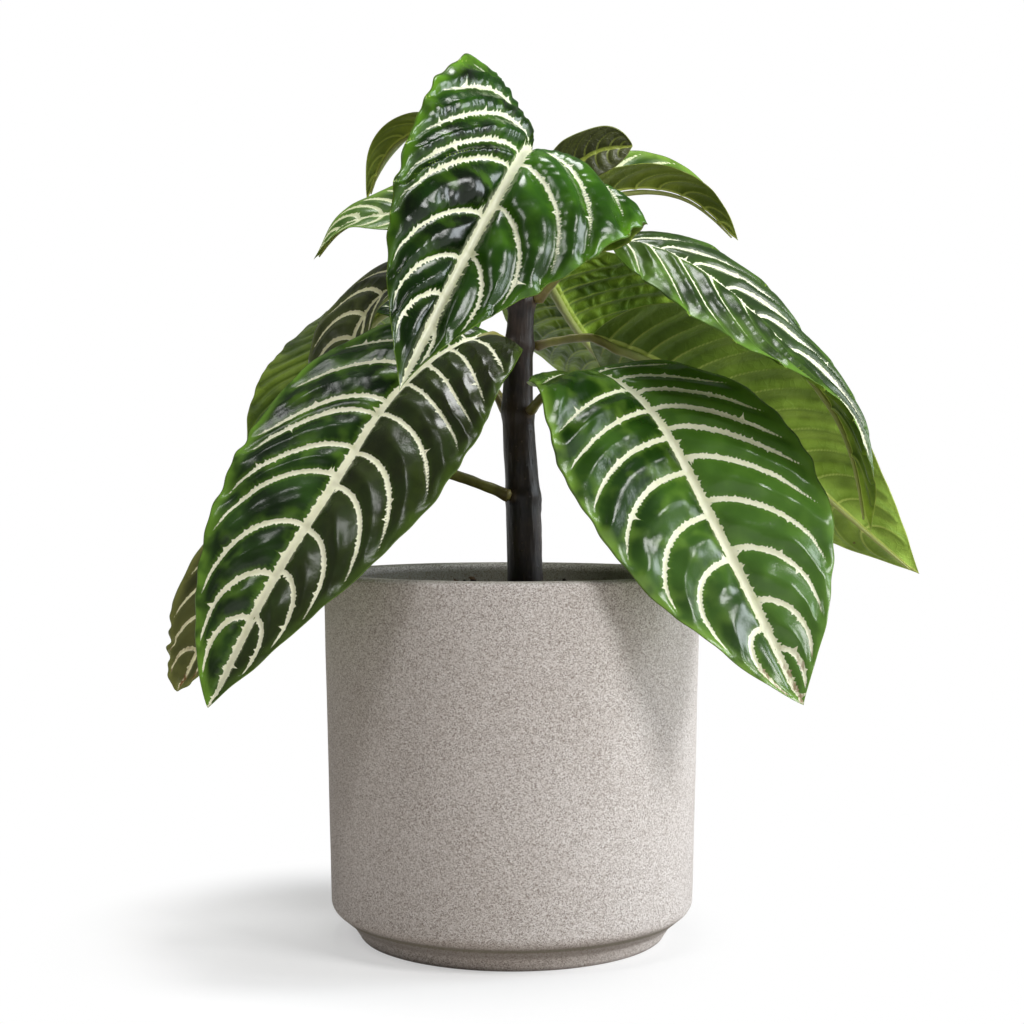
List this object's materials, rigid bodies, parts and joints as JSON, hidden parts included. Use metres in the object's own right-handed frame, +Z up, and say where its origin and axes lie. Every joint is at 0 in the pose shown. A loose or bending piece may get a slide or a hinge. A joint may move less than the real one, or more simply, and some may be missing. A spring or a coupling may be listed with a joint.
{
  "type": "potted zebra plant",
  "caption": "Leafy houseplant with broad, pointed dark green leaves striped by pale veins, on one woody stem in a straight-sided speckled ceramic planter.",
  "frame": {"origin": "middle of the planter's flat underside", "axes": "+Z up along the stem, -Y towards the front, from which the big top leaf is seen face on, +X to the right"},
  "size_m": [0.2932, 0.2365, 0.3121],
  "materials": {
    "speckled_ceramic": "warm grey stoneware with fine dark and light grains, matt",
    "soil": "loose dark potting mix of fine fibres and crumbs",
    "stem_bark": "near-black woody stem with a faint sheen",
    "young_green": "young green scale leaves",
    "leaf_green": "glossy dark green leaf with raised quilting and cream veins, yellower green beneath"
  },
  "bodies": {
    "root": {"planter": "speckled_ceramic", "potting_soil": "soil", "stem": "stem_bark", "shoot_tip": "young_green", "leaf_1_left": "leaf_green", "leaf_2_right": "leaf_green", "leaf_2_left": "leaf_green", "leaf_3_left": "leaf_green", "leaf_3_right": "leaf_green", "leaf_4_right": "leaf_green", "leaf_4_left": "leaf_green", "leaf_5_front": "leaf_green", "leaf_5_back": "leaf_green", "leaf_6_right": "leaf_green", "leaf_6_left": "leaf_green", "leaf_7_right": "leaf_green", "leaf_7_left": "leaf_green"}
  },
  "joints": []
}
